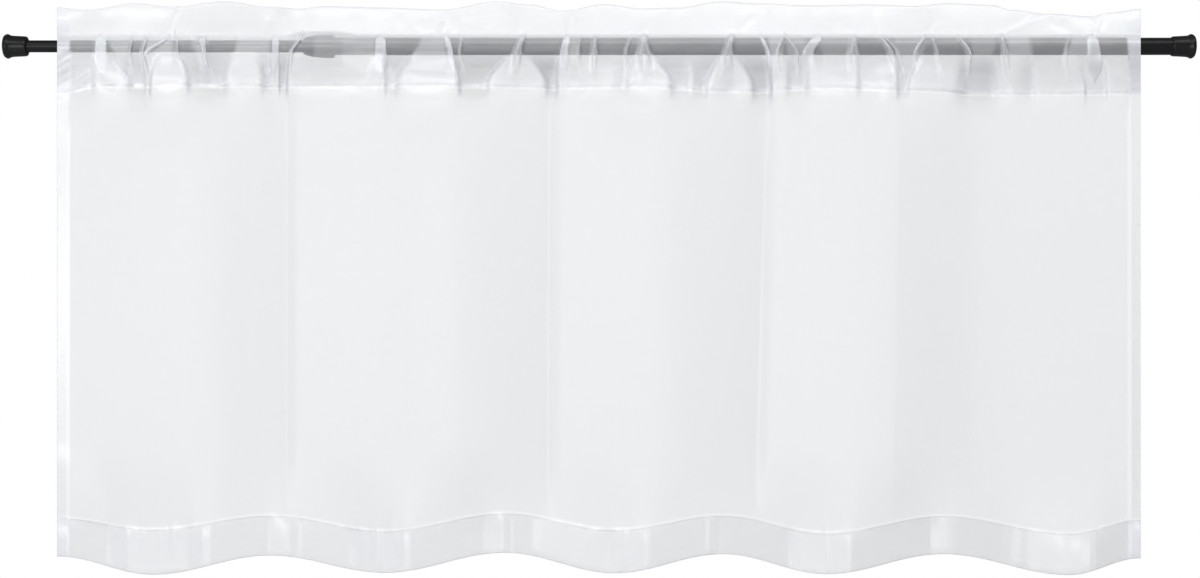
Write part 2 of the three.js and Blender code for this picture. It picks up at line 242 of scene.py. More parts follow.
# The pocket's slack under the rod, in puffs that stand forward (-) and hollows that hang
# back (+): where each line of them leaves the rod and where it meets the pocket's seam. Then the
# heights between which hollows and puffs grow, those between which they die away, and how their
# lines are softened below the seam.
SWAGS = named(
    ("rod", "foot", "depth"),
    (57, 57, 0), (72, 72, 0), (78, 78, 3), (96, 94, 2), (99, 101, -3), (112, 132, -3),
    (118, 143, 8), (150, 154, 8), (153, 155, 0), (156, 156, 4), (167, 158, 4), (172, 162, -5),
    (189, 197, -5), (195, 206, 8), (220, 221, 10), (246, 239, 8), (250, 247, -4), (275, 282, -4),
    (279, 285, 6), (292, 292, 6), (294, 294, 0), (301, 301, 1), (303, 303, 7), (311, 308, 7),
    (316, 313, -4), (358, 358, -2), (385, 389, -4), (402, 404, -2), (417, 417, -3),
    (420, 420, 6), (447, 428, 7), (453, 435, -5), (489, 497, -5), (495, 503, 10), (525, 516, 11),
    (556, 528, 10), (560, 535, -4), (565, 565, -1), (569, 593, -4), (573, 600, 9), (606, 605, 9),
    (611, 610, -4), (626, 633, -1), (644, 646, -4), (668, 666, -2), (692, 681, 2),
    (698, 689, -5), (710, 730, -5), (715, 737, 9), (741, 746, 8), (753, 756, 3), (767, 764, 8),
    (787, 769, 9), (792, 775, -4), (796, 797, 3), (800, 820, -4), (805, 826, 9), (834, 840, 9),
    (841, 846, -5), (858, 858, -5), (864, 864, 5), (880, 879, 5), (891, 887, -4), (914, 914, -5),
    (936, 936, -4), (942, 942, 3), (954, 952, 1), (967, 972, -5), (975, 980, -5), (985, 985, 7),
    (1008, 990, 6), (1013, 998, -5), (1043, 1042, -4), (1058, 1060, 7), (1083, 1084, 8),
    (1095, 1098, 1), (1107, 1108, -3), (1128, 1130, 3), (1137, 1137, -2), (1174, 1187, -2),
    (1184, 1190, 3), (1207, 1210, 3), (1212, 1214, -4), (1231, 1232, -2), (1236, 1236, 0),
    (1250, 1250, 0),
)
HOLLOWS, PUFFS = ((-9, -25), (-44, -84)), ((-9, -30), (-49, -76))
SOFT_BELOW, SLACK_BLUR = 18, 13

# Creases pressed into the front: from one end to the other, how wide, and how far they stand
# forward (-) or back (+).
CREASES = named(
    ("x1", "z1", "x2", "z2", "width", "depth"),
    (189, 37, 176, 8, 2.4, 1.3), (181, 38, 168, 12, 2.2, -0.8), (282, 14, 291, 27, 2.6, -1.5),
    (291, 27, 306, 27, 2.6, -1.4), (306, 27, 315, 13, 2.6, -1.4), (436, 29, 460, 10, 5, 1.4),
    (479, 10, 483, 23, 2.4, 1.3), (483, 23, 492, 14, 2.4, 1.3), (504, 27, 530, 20, 3.2, 1.3),
    (470, 12, 476, 26, 3, -1), (562, 14, 566, 24, 4, 0.9), (619, 15, 621, 30, 3.4, 1),
    (700, 14, 706, 26, 4, 0.8), (809, 20, 822, 31, 3.6, 1.3), (842, 14, 843, 44, 2.6, 1.1),
    (914, 27, 926, 16, 4, 1.3), (965, 16, 960, 34, 4, -0.9), (1015, 15, 1022, 28, 3.4, 1),
    (1098, 12, 1136, 31, 3.4, -1.8), (1152, 27, 1180, 12, 5, 1.5), (1190, 36, 1202, 18, 2.4, -1.8),
    (1211, 36, 1205, 18, 2.2, 1.5), (250, 40, 254, 16, 5, 0.9), (1238, 38, 1236, 14, 3, 0.8),
    (57, -18, 73, -8, 2.2, 0.7), (57, -25, 71, -17, 2, 0.6), (57, -37, 76, -25, 2.2, 0.7),
    (57, -44, 74, -34, 2, 0.6), (76, -44, 98, -30, 3, -1.6), (106, -40, 118, -46, 3, 1.2),
    (1238, -24, 1250, -27, 1.8, 0.5), (1236, -33, 1250, -33, 1.8, 0.5),
    (1240, -41, 1250, -40, 1.8, 0.5), (1205, -16, 1222, -34, 4, -1.6),
    (664, -70, 704, -72, 9, 2.4), (240, -52, 246, -72, 9, 1.5), (291, -52, 296, -74, 9, 2),
    (1050, -52, 1058, -68, 10, 2), (133, -530, 133, -575, 3, -0.9),
    (146, -530, 147, -575, 4, 0.8), (186, -530, 186, -575, 5, -1),
    (204, -530, 203, -575, 4, 0.9), (313, -522, 313, -560, 3.4, -1),
    (322, -522, 322, -560, 3, 0.7), (392, -532, 392, -572, 2.6, -0.9),
    (401, -532, 401, -574, 2.4, 0.9), (409, -532, 409, -575, 2.4, -0.9),
    (418, -532, 418, -575, 2.6, 0.8), (426, -532, 426, -575, 2.6, -0.8),
    (531, -520, 531, -558, 2.8, -1), (539, -520, 539, -558, 2.4, 0.9),
    (548, -520, 548, -558, 2.6, -1), (556, -520, 556, -558, 2.4, 0.7),
    (671, -532, 671, -573, 3, -0.8), (681, -532, 681, -573, 3, -0.6),
    (776, -522, 775, -562, 3.4, -1.1), (786, -522, 786, -562, 3, 0.8),
    (866, -530, 865, -572, 4, 0.8), (903, -532, 904, -574, 3, -1.4),
    (1035, -522, 1036, -562, 3.4, -0.9), (1118, -532, 1117, -573, 4, -0.7),
    (1131, -532, 1131, -574, 4, 0.7), (1164, -534, 1166, -576, 5, -0.8),
)

# Unevenness: the seams' puckers with their spread, and for each kind how much there is and its
# noise's blotch width, blotch height and seed. Then the noise's lattice and where it starts.
PUCKERS = ((HEAD_SEAM, 4), (FOOT, 5), (HEM_SEAM, 5))
PUCKER, PUCKER_NOISE = 0.45, (5.5, 9, 11)
RUFFLED, RUFFLE_NOISE = 0.9, (17, 21, 3)
UNEVEN, LAYER_NOISE = 0.5, (16, 400, 5)
LATTICE, NOISE_FROM = (97, 89), (211.3, 178.9)

# Stretches on the rod where the slack is crowded into gathers finer than a millimetre: how many
# more layers of cloth that makes, and how far their sides curve right (+) by the rod's underside.
# Then how soft their sides are, and where they begin and end with how softly they do so.
CROWDED = named(
    ("start", "end", "layers", "start_curve", "end_curve"),
    (57.5, 73, 0.6), (100, 113, 0.4), (116, 139, 0.9, 9, -5), (155, 186, 0.9),
    (206, 227, 0.6, 6, -5), (258, 292, 0.9, -5), (342, 408, 0.35),
    (374, 408, 0.4), (459, 486, 0.9, -10), (616, 630, 0.7),
    (840, 854, 1), (860, 880, 0.6), (895, 929, 0.3, 4),
    (978, 1011, 0.5, 0, -4), (1061, 1088, 0.4, 3, -4), (1101, 1125, 0.9, 0, 3),
    (1172, 1191, 0.8, -11), (1234, 1249.5, 0.6),
)
CROWDED_EDGE, CROWDED_HEIGHTS = 4.5, ((13, 4), (-8, 26))

# How many more layers the front looks like along each seam and over the rod, in gathers and in
# hollows, and how many a turned edge looks like. The hollows' extra layers thicken the painted
# shade that their yarn is coloured with.
DENSER = named(
    ("z", "layers", "spread"),
    (HEAD_SEAM, 0.1, 1.8), (6.5, 0.26, 8), (FOOT, 1.3, 1.8), (HEM_SEAM, 0.5, 1.8),
)
GATHER_LAYERS, HOLLOW_LAYERS, TURNED_LAYERS = 0.5, 0.8, 0.3

# How white the yarn is painted, from 0 in a deep hollow through 1 in one flat layer to 3 where it
# is packed, partly for real stacked yarn and partly as painted light scattered between layers,
# painted light on puffs and painted shade in hollows: at each height, and in the side hems with the
# layers that these look like. Then the most that a slope makes of it, what gathers, laid pleats,
# puffs and hollows add or take, how pleats fill and fade, the depths of a full hollow and puff, and
# how the painted shade of hollows fades below the seam.
WHITER = named(
    ("z", "crowding_and_painted_light", "in_side_hem", "hem_layers"),
    (HEM_EDGE, 2.35, 2.8, 1.1), (HEM_SEAM - 8, 2.35, 2.8, 1.1), (HEM_SEAM - 3, 2.4, 2.8, 1.1),
    (HEM_SEAM, 3, 3, 1.1), (HEM_SEAM + 1.5, 3, 3, 1), (HEM_SEAM + 3, 1, 2.3, 1),
    (-300, 1, 2.5, 1), (-90, 1, 2.8, 1.1), (FOOT - 3, 1, 2.8, 1.2), (FOOT - 1, 2, 2.8, 1.3),
    (FOOT, 3, 2.8, 1.3), (FOOT + 5, 2.1, 2.5, 1.3), (-22, 1.8, 2.3, 1.4), (-9, 1.95, 2.5, 1.7),
    (9, 2.85, 2.7, 1.7), (HEAD_SEAM, 2.8, 2.8, 1.3), (TOP - 3, 2.85, 2.9, 1.2), (TOP, 3, 3, 1.2),
)
STACKED_MOST = 1.6
IN_GATHER, IN_LAID, LIGHT_IN_PUFF, SHADE_IN_HOLLOW = 0.6, 1.2, (0.2, 0.9), 1.35
LAID_FILLS, LAID_FADES = 3, 0.6
FULL_HOLLOW, FULL_PUFF = 10, 5
HOLLOW_SHADE_FADES, FADES_ABOVE, FADES_BY = 0.7, 4, 8


def eased(t):
    return 0.5 - 0.5 * np.cos(np.pi * np.clip(t, 0, 1))


def way(z, start, end):
    """How far each height is on the way from one height to another, from 0 to 1."""
    return np.clip((start - z) / (start - end), 0, 1)


def bell(off, spread):
    return np.exp(-((off / spread) ** 2))


def lerp(a, b, t):
    return a + (b - a) * t


def swell(at, values, place):
    """Values of a table at each place, swelling smoothly from row to row."""
    i = np.clip(np.searchsorted(at, place) - 1, 0, len(at) - 2)
    t = (place - at[i]) / np.maximum(at[i + 1] - at[i], 1e-6)
    return lerp(values[i], values[i + 1], eased(t))


def blurred(values, spread):
    """Values at every millimetre, blurred by a spread in millimetres."""
    reach = 3 * spread
    kernel = bell(np.arange(-reach, reach + 1), spread)
    return np.convolve(np.pad(values, reach, mode="edge"), kernel / kernel.sum(), "valid")


def soft_noise(x, z, across, up, seed):
    """Smooth noise from -1 to 1, with blotches of the given size."""
    lattice = np.random.default_rng(seed).uniform(-1, 1, LATTICE)
    gx, gz = x / across + NOISE_FROM[0], z / up + NOISE_FROM[1]
    ix, iz = np.floor(gx).astype(int), np.floor(gz).astype(int)

    def level(i, j):
        return lattice[i % LATTICE[0], j % LATTICE[1]]

    tx, tz = eased(gx - ix), eased(gz - iz)
    near = lerp(level(ix, iz), level(ix + 1, iz), tx)
    far = lerp(level(ix, iz + 1), level(ix + 1, iz + 1), tx)
    return lerp(near, far, tz)


# ------------------------ the cloth's grid and its places
def cloth_columns():
    """Columns of the cloth: each one's place across the finished width, whether it is turned
    under as a side hem, and the gather it belongs to with its share along that gather."""
    g, half = GATHERS, GATHERS["take"] / 2
    narrow = np.maximum(g["head"], g["narrow"]) / 2
    seam, rod = g["seam"], g["rod"]
    starts = np.maximum(np.diff(np.r_[LEFT, seam]), np.diff(np.r_[LEFT, rod]))
    flats = np.maximum(starts - narrow - np.r_[0, narrow[:-1]], LEAST_FLAT)
    middles = np.cumsum(flats + half + np.r_[0, half[:-1]])
    width = middles[-1] + half[-1] + RIGHT - rod[-1] - narrow[-1]
    places, gather, share = [], [], []

    def stretch(a, b, n, i=-1):
        places.extend(np.linspace(a, b, n, endpoint=False))
        gather.extend([i] * n)
        share.extend(np.arange(n) / n)

    def flat(a, b):
        stretch(a, b, max(1, math.ceil((b - a) / FLAT_PITCH)))

    stretch(0, EDGE_TURN, 1)
    at = EDGE_TURN
    for i, (start, end) in enumerate(zip(middles - half, middles + half)):
        flat(at, start)
        n = int(np.clip(round(g["take"][i] / GATHER_PITCH), *GATHER_COLUMNS))
        stretch(start, end, n, i)
        at = end
    flat(at, width - EDGE_TURN)
    stretch(width - EDGE_TURN, width, 2)
    stretch(width, width, 1)
    under = np.r_[np.linspace(SIDE_HEM, SIDE_HEM / TURNED_COLUMNS, TURNED_COLUMNS), EDGE_TURN]
    pad = np.full(len(under), -1)
    return {
        "place": np.r_[under, places, width - under[::-1]],
        "turned": np.r_[pad, np.zeros(len(gather)), pad] < 0,
        "gather": np.r_[pad, gather, pad],
        "share": np.r_[pad, share, pad],
        "middles": middles,
        "half": half,
        "width": width,
    }


def cloth_rows():
    """Rows of the cloth, from the raw edge of the hem to that of the pocket."""
    side, z = [], []
    for i, n in enumerate(RUN["rows"].astype(int)):
        z.extend(np.linspace(RUN["start"][i], RUN["end"][i], n))
        side.extend([RUN["side"][i]] * n)
    return {"side": np.array(side), "z": np.array(z)}


def places_along_rod(columns, z):
    """Where each column stands along the rod, in each row, before its gathers are folded."""
    g, middles, half = GATHERS, columns["middles"], columns["half"]
    edges = np.stack([middles - half, middles + half], 1).ravel()

    def folded(centre, width):
        return np.interp(
            columns["place"],
            np.r_[0, edges, columns["width"]],
            np.r_[LEFT, np.stack([centre - width / 2, centre + width / 2], 1).ravel(), RIGHT],
        )

    def opened(centre):
        ends = np.r_[0, middles, columns["width"]]
        return np.interp(columns["place"], ends, np.r_[LEFT, centre, RIGHT])

    even = np.interp(columns["place"], [0, columns["width"]], [LEFT, RIGHT])
    laid = np.abs(g["lay"]) == 1
    flare, waist = np.where(laid, 1, FLARE), np.where(laid, LAID_WAIST, WAIST)
    out = np.empty((len(z), len(columns["place"])))
    for i, height in enumerate(z):
        on_rod = way(height, HEAD_SEAM, ROD_UNDER)
        centre = lerp(g["seam"], g["rod"], eased(on_rod))
        width = lerp(g["head"], g["narrow"], on_rod) * flare
        out[i] = folded(centre, width * (1 - waist * np.sin(np.pi * on_rod)))
        in_ruffle = eased(way(height, HEAD_SEAM, TOP))
        in_pocket = np.sin(np.pi / 2 * way(height, ROD_UNDER, FOOT))
        out[i] = lerp(lerp(out[i], opened(g["seam"]), in_ruffle), opened(g["foot"]), in_pocket)
        out[i] = lerp(out[i], even, eased(way(height, FOOT, EVEN_BY)))
    return out


def fold_gathers(columns, z, side, x):
    """Folds the slack of every gather into its ridge. Returns the moved places, how far each point
    stands out from the cloth's own surface, and how much whiter its pleat is painted, partly for
    stacked yarn and partly as painted light scattered between its layers."""
    bends = np.linspace(0, MOST_BEND, BENDS)
    turn = np.sin(2 * np.pi * (np.arange(BEND_STEPS) + 0.5) / BEND_STEPS)
    widths = np.cos(bends[:, None] * turn).mean(1)
    ridge, pleated = np.zeros_like(x), np.zeros_like(x)
    pocket = eased((ROD_UNDER - z) / POCKET_OPENS_BY)
    for i, cloth in enumerate(GATHERS["take"]):
        lay, held = GATHERS["lay"][i], GATHERS["held"][i]
        inside = np.flatnonzero(columns["gather"] == i)
        start, end = x[:, [inside[0]]], x[:, [inside[-1] + 1]]
        keep = eased((HEAD_SEAM + GATHERS_END - z) / RUFFLE_OPENS_BY)
        keep = np.where(z < ROD_UNDER, lerp(1, held, pocket), keep)
        keep = np.where(z < FOOT, keep * (1 - eased((FOOT - z) / FOLDS_LOST_BY)), keep)[:, None]
        if abs(lay) == 1:
            keep = keep * (side < 0)[:, None]
            share = columns["share"][inside]
            folded = start + (end - start) * (0.5 - 0.5 * np.cos(3 * np.pi * share))
            from_edge = share if lay < 0 else 1 - share
            lifted = LAID_DEPTH * np.interp(from_edge, LAID_SHARES, LAID_UNDER)
            fades = 1 - LAID_FADES * pocket[:, None]
            pleated[:, inside] = IN_LAID * np.minimum(LAID_FILLS * keep, 1) * fades
        else:
            ratio = np.clip((end - start) / cloth, NARROWEST, 1)
            bend = np.interp(ratio, widths[::-1], bends[::-1])
            fine = np.arange(len(inside) * FINE_STEPS)
            angle = bend * np.sin(2 * np.pi * (fine + 0.5) / len(fine))
            step = cloth / len(fine)
            run = np.cumsum(np.cos(angle), 1)[:, FINE_STEPS - 1 :: FINE_STEPS] * step
            rise = np.cumsum(np.sin(angle), 1)[:, FINE_STEPS - 1 :: FINE_STEPS] * step
            run, rise = (np.hstack([0 * bend, part[:, :-1]]) for part in (run, np.maximum(rise, 0)))
            folded = start + run + rise * math.sin(lay * LAID_OVER)
            lifted = rise * math.cos(lay * LAID_OVER)
            pleated[:, inside] = IN_GATHER * keep
        x[:, inside] = lerp(x[:, inside], folded, keep)
        ridge[:, inside] = lifted * keep
    return x, ridge, pleated


def body_depth(x, fallen):
    """Depth of the body's folds: the falls added up from the left edge, row by row."""
    depth, fall = np.empty_like(x), FALLS["fall"]
    for i, share in enumerate(fallen[:, 0]):
        at = lerp(FALLS["top"], FALLS["hem"], share)
        steps = np.diff(at) * (fall[1:] + fall[:-1]) / 2
        start = np.r_[FALLS_FROM, FALLS_FROM + np.cumsum(steps)]
        j = np.clip(np.searchsorted(at, x[i]) - 1, 0, len(at) - 2)
        along = x[i] - at[j]
        bend = (fall[j + 1] - fall[j]) / (at[j + 1] - at[j])
        depth[i] = start[j] + fall[j] * along + bend * along**2 / 2
    return depth


def section(x, z):
    """The height of each point, the pocket's radius there, and half of the gap between its
    layers, which runs straight from each seam to where it meets the rod."""
    radius = swell(SNUG["x"], SNUG["radius"], x)
    seam = np.maximum(HEAD_SEAM, radius + SEAM_ABOVE_ROD)
    foot = swell(POCKET_SEAM["x"], POCKET_SEAM["height"], x)
    hem_seam, hem_edge = (swell(HEM_WAVES["x"], HEM_WAVES[key], x) for key in ("seam", "edge"))
    ruffle = swell(RUFFLE["x"], RUFFLE["height"], x)
    height = np.select(
        [z > HEAD_SEAM, z >= 0, z >= FOOT, z >= HEM_SEAM],
        [
            lerp(seam, ruffle, way(z, HEAD_SEAM, TOP)),
            z * seam / HEAD_SEAM,
            z * foot / FOOT,
            lerp(foot, hem_seam, way(z, FOOT, HEM_SEAM)),
        ],
        lerp(hem_seam, hem_edge, way(z, HEM_SEAM, HEM_EDGE)),
    )
    above = (seam - height) * np.tan(np.arcsin(radius / seam))
    below = (height - foot) * np.tan(np.arcsin(radius / -foot))
    on_rod = np.sqrt(np.maximum(radius**2 - height**2, 0))
    under_rod = np.where(height < radius**2 / foot, below, on_rod)
    pocket = np.where(height > radius**2 / seam, above, under_rod)
    in_pocket = (z <= HEAD_SEAM) & (z >= FOOT)
    half = np.interp(z, GAP["z"], GAP["half"]) + np.where(in_pocket, np.maximum(pocket, 0), 0)
    return height, radius, half


def fold_depth(x, z, radius):
    """Depth of the folds of the body and hem, which die away under the rod."""
    swings = HEM_SWINGS["x"], HEM_SWINGS["depth"]
    blurred_hem = np.interp(x, EACH_MM, blurred(np.interp(EACH_MM, *swings), HEM_BLUR))
    sharp = eased((HEM_SEAM + HEM_SHARPENS / 2 - z) / HEM_SHARPENS)
    hem = lerp(blurred_hem, np.interp(x, *swings), sharp)
    depth = lerp(body_depth(x, way(z, FOOT, HEM_SEAM)), hem, eased(way(z, *HEM_TAKES_OVER)))
    grown = lerp(FOLDS_AT_POCKET, 1, eased((FOOT - z) / FOLDS_FULL_BY))
    under_rod = FOLDS_AT_POCKET * eased((-radius - z) / FOLDS_FROM_ROD)
    return depth * np.where(z > FOOT, under_rod, grown)


def slack_depth(x, z):
    """Depth of the pocket's puffs and hollows, which go on softly below its seam."""
    slack = np.empty_like(x)
    for i, down in enumerate(way(z[:, 0], ROD_UNDER, FOOT)):
        lines = lerp(SWAGS["rod"], SWAGS["foot"], np.sin(np.pi / 2 * down))
        slack[i] = swell(lines, SWAGS["depth"], x[i])
    soft = blurred(swell(SWAGS["foot"], SWAGS["depth"], EACH_MM), SLACK_BLUR)
    slack = lerp(slack, np.interp(x, EACH_MM, soft), eased((FOOT - z) / SOFT_BELOW))
    for sign, (grows, dies) in ((1, HOLLOWS), (-1, PUFFS)):
        grown = way(z, *grows) * (1 - eased(way(z, *dies)))
        slack = np.where(slack * sign > 0, slack * grown, slack)
    return slack


def rumple_depth(x, z, height, side):
    """Depth of the ruffle's lean and unevenness, the front's creases and the seams' puckers."""
    in_ruffle = way(z, HEAD_SEAM, TOP)
    depth = swell(RUFFLE["x"], RUFFLE["lean"], x) * in_ruffle
    depth = depth + RUFFLED * in_ruffle * soft_noise(x, z, *RUFFLE_NOISE)
    for x1, z1, x2, z2, width, out in zip(*CREASES.values()):
        reach = (x2 - x1) ** 2 + (z2 - z1) ** 2
        along = np.clip(((x - x1) * (x2 - x1) + (height - z1) * (z2 - z1)) / reach, 0, 1)
        off = np.hypot(x - lerp(x1, x2, along), height - lerp(z1, z2, along))
        depth = depth + out * bell(off, width) * (side < 0)
    for line, spread in PUCKERS:
        depth = depth + PUCKER * bell(z - line, spread) * soft_noise(x, z, *PUCKER_NOISE)
    return depth


def layers_seen(x, z, side, turned, side_hem, gathered):
    """How many layers of cloth each point looks like, hollows apart."""
    front = side < 0
    layers = np.ones_like(x)
    curved = way(z, -ROD_UNDER, ROD_UNDER) ** 2
    (high, below), (low, under) = CROWDED_HEIGHTS
    level = eased((high - z) / below) * (1 - eased((low - z) / under))
    for start, end, more, start_curve, end_curve in zip(*CROWDED.values()):
        from_start = (x - start - start_curve * curved) / CROWDED_EDGE
        to_end = (end + end_curve * curved - x) / CROWDED_EDGE
        layers += more * eased(from_start + 0.5) * eased(to_end + 0.5) * level * front
    uneven = 1 + UNEVEN * soft_noise(x, z, *LAYER_NOISE)
    for line, more, spread in zip(*DENSER.values()):
        layers += more * uneven * bell(z - line, spread) * front
    layers += GATHER_LAYERS * gathered * front
    hem_layers = np.interp(z, WHITER["z"], WHITER["hem_layers"])
    layers = np.where(turned, hem_layers, np.where(side_hem & front, hem_layers * layers, layers))
    turned_edge = (side == 0) & (z < HEAD_SEAM) & (z > HEM_EDGE)
    return np.where(turned_edge, TURNED_LAYERS, layers)


def slope_stacks(x, y):
    """How many times over the cloth's slope stacks its threads."""
    run, fall = np.gradient(x, axis=1), np.gradient(y, axis=1)
    stacked = np.clip(np.hypot(run, fall) / np.maximum(np.abs(run), 1e-6), 1, STACKED_MOST)
    stacked[:, 1:-1] = (stacked[:, :-2] + 2 * stacked[:, 1:-1] + stacked[:, 2:]) / 4
    return stacked


def hung_cloth():
    """The hung cloth as rows by columns: every point in millimetres, the layers that it looks like,
    how crowded its threads look together with the painted light and shade in their colour, and the
    grid's columns and rows."""
    columns, rows = cloth_columns(), cloth_rows()
    z, side = rows["z"], rows["side"]
    x, ridge, pleated = fold_gathers(columns, z, side, places_along_rod(columns, z))
    z, side = z[:, None], side[:, None]
    height, radius, half = section(x, z)
    slack = slack_depth(x, z)
    depth = fold_depth(x, z, radius) + rumple_depth(x, z, height, side)

    # The front takes all of the ridges and slack. The back has ridges of its own, all of the
    # hollows, and puffs only where the two are sewn.
    front, back = side < 0, side > 0.5
    sewn = eased((SEWN_FROM - z) / SEWN_BY)
    follow = lerp(RUFFLE_FOLLOWS, ROD_FOLLOWS, eased((HEAD_SEAM - z) / ROD_FOLLOWS_BY))
    follow = lerp(follow, SEAM_FOLLOWS, sewn)
    inner = (side == 0) & (z < HEAD_SEAM) & (z > FOOT - 1)
    depth = depth + np.where(back | inner, follow * ridge, -ridge)
    depth = depth + np.where(back & (slack <= 0), slack * sewn, slack)
    tucked = columns["turned"] * BETWEEN_LAYERS
    y = side * half + depth + np.where(front, tucked, -tucked)
    x = x + (x - MIDDLE) * y * DRAWN_IN
    height = height + (height - SEEN_FROM) * y * DRAWN_IN * eased((FOOT - z) / DRAWN_BY)

    turned = columns["turned"]
    edge = int(turned.sum() / 2)
    side_hem = np.minimum(np.abs(x - x[:, [edge]]), np.abs(x[:, [-1 - edge]] - x)) < SIDE_HEM
    laid = np.abs(np.r_[GATHERS["lay"], 1][columns["gather"]]) == 1
    gathered = np.where(laid, 0, np.minimum(pleated / IN_GATHER, 1))
    layers = layers_seen(x, z, side, turned, side_hem, gathered)
    hollow = np.clip(slack / FULL_HOLLOW, 0, 1) * front
    puff = np.clip(-slack / FULL_PUFF, 0, 1) * front
    # Partly painted light: stacked layers, slopes turned edge-on to the front and pleats paint the
    # yarn whiter, for real stacked yarn and as painted light scattered between layers and painted
    # highlights on the folds.
    crowding_and_painted_light = layers * slope_stacks(x, y) * np.interp(z, WHITER["z"], WHITER["crowding_and_painted_light"]) + pleated
    # Painted light: the pocket's puffs are painted whiter, more so towards the pocket's seam.
    crowding_and_painted_light += lerp(*LIGHT_IN_PUFF, way(z, ROD_UNDER, FOOT) ** 2) * puff
    # Painted shade: the pocket's hollows are painted darker, towards the hollow shade colour, and
    # less so below the pocket's seam.
    fades = 1 - HOLLOW_SHADE_FADES * eased((FOOT + FADES_ABOVE - z) / FADES_BY)
    crowding_and_painted_light -= SHADE_IN_HOLLOW * fades * hollow
    # The side hems and turned edges take their whiteness from the table, partly for stacked yarn
    # and partly as painted light.
    in_hem = np.interp(z, WHITER["z"], WHITER["in_side_hem"])
    crowding_and_painted_light = np.where(side_hem | turned, in_hem, crowding_and_painted_light)
    return np.stack([x, y, height], 2), layers + HOLLOW_LAYERS * hollow, crowding_and_painted_light, columns, rows


def cloth_size(columns, rows):
    """The size that the cloth was cut to, in metres, and each row's place on that cut."""
    steps = np.maximum(np.abs(np.diff(rows["z"])), LEAST_ROW)
    along = np.r_[0, np.cumsum(steps)]
    return (columns["width"] + 2 * SIDE_HEM) * MM, along[-1] * MM, along / along[-1]


# ------------------------ nodes and meshes
def node(tree, kind, inputs=(), **settings):
    """A new shader node with its settings; inputs are (socket, value or linked socket) pairs."""
    made = tree.nodes.new("ShaderNode" + kind)
    for key, value in settings.items():
        setattr(made, key, value)
    for socket, value in inputs:
        if isinstance(value, bpy.types.NodeSocket):
            tree.links.new(value, made.inputs[socket])
        else:
            made.inputs[socket].default_value = value
    return made


def calc(tree, operation, first, second=None, third=None, clamp=False):
    """The result of a Math node."""
    inputs = [(i, v) for i, v in enumerate((first, second, third)) if v is not None]
    return node(tree, "Math", inputs, operation=operation, use_clamp=clamp).outputs[0]


def noise(tree, place, scale=1, detail=2, roughness=0.5):
    """Smooth noise, 0.5 on average."""
    given = [("Vector", place), ("Scale", scale), ("Detail", detail), ("Roughness", roughness)]
    return node(tree, "TexNoise", given).outputs["Fac"]


def stretched(tree, place, by):
    """A place multiplied axis by axis."""
    return node(tree, "VectorMath", [(0, place), (1, by)], operation="MULTIPLY").outputs[0]


def bumped(tree, height, strength, distance, onto=None):
    """The normal of a bump, laid onto another bump's if one is given."""
    given = [("Strength", strength), ("Distance", distance), ("Height", height)]
    if onto:
        given.append(("Normal", onto))
    return node(tree, "Bump", given).outputs[0]


def effect_group(name, inputs, outputs):
    """An empty shader node group with named inputs and named float outputs."""
    group = bpy.data.node_groups.new(name, "ShaderNodeTree")
    for label, kind, *default in inputs:
        socket = group.interface.new_socket(label, in_out="INPUT", socket_type="NodeSocket" + kind)
        for value in default:
            socket.default_value = value
    for label in outputs:
        group.interface.new_socket(label, in_out="OUTPUT", socket_type="NodeSocketFloat")
    return group, group.nodes.new("NodeGroupInput").outputs, group.nodes.new("NodeGroupOutput")


def new_material(name):
    material = bpy.data.materials.new(name)
    material.use_nodes = True
    material.node_tree.nodes.clear()
    return material, material.node_tree


# The weave: its pitch in metres, how raised a neutral crossing is, how much more yarn a raised one
# shows, and how slubs run along each thread. Then how the black finish is rubbed along the rod, how
# much paler that is, and the plastic's share of the enamel's roughness. Then the least that voile
# faces the eye, the share of light that it lets through, and the most crowding and painted light,
# where the yarn is painted its whitest.
THREAD_PITCH = 0.00045
NEUTRAL_CROSSING, CROSSING_CONTRAST = 0.87, 0.9
WARP_SLUBS, WEFT_SLUBS = (7, 620, 1), (760, 5, 1)
RUBBED_ALONG, RUBBED_PALER, PLASTIC_SMOOTHER = (14, 900, 900), 1.8, 0.8
LEAST_FACING, SHONE_THROUGH, PACKED = 0.16, 0.42, 3


def plain_weave_group():
    """Warp and weft threads crossing over and under, with slubs along both."""
    group, given, out = effect_group(
        "plain_weave",
        [("Cut", "Vector"), ("Thread Pitch", "Float", THREAD_PITCH), ("Slubs", "Float", 0.12)],
        ["Density", "Height"],
    )
    cut = node(group, "SeparateXYZ", [(0, given["Cut"])]).outputs
    turns = calc(group, "DIVIDE", math.pi, given["Thread Pitch"])
    threads = []
    for axis in (0, 1):
        wave = calc(group, "SINE", calc(group, "MULTIPLY", cut[axis], turns))
        threads.append(calc(group, "ABSOLUTE", wave))
    crossing = calc(group, "MAXIMUM", *threads)
    slubs = [noise(group, stretched(group, given["Cut"], by)) for by in (WARP_SLUBS, WEFT_SLUBS)]
    slub = calc(group, "SUBTRACT", calc(group, "ADD", *slubs), 1)
    varied = calc(group, "MULTIPLY_ADD", slub, given["Slubs"], 1)
    over = calc(group, "SUBTRACT", crossing, NEUTRAL_CROSSING)
    woven = calc(group, "MULTIPLY_ADD", over, CROSSING_CONTRAST, varied)
    group.links.new(woven, out.inputs["Density"])
    group.links.new(calc(group, "ADD", crossing, slub), out.inputs["Height"])
    return group


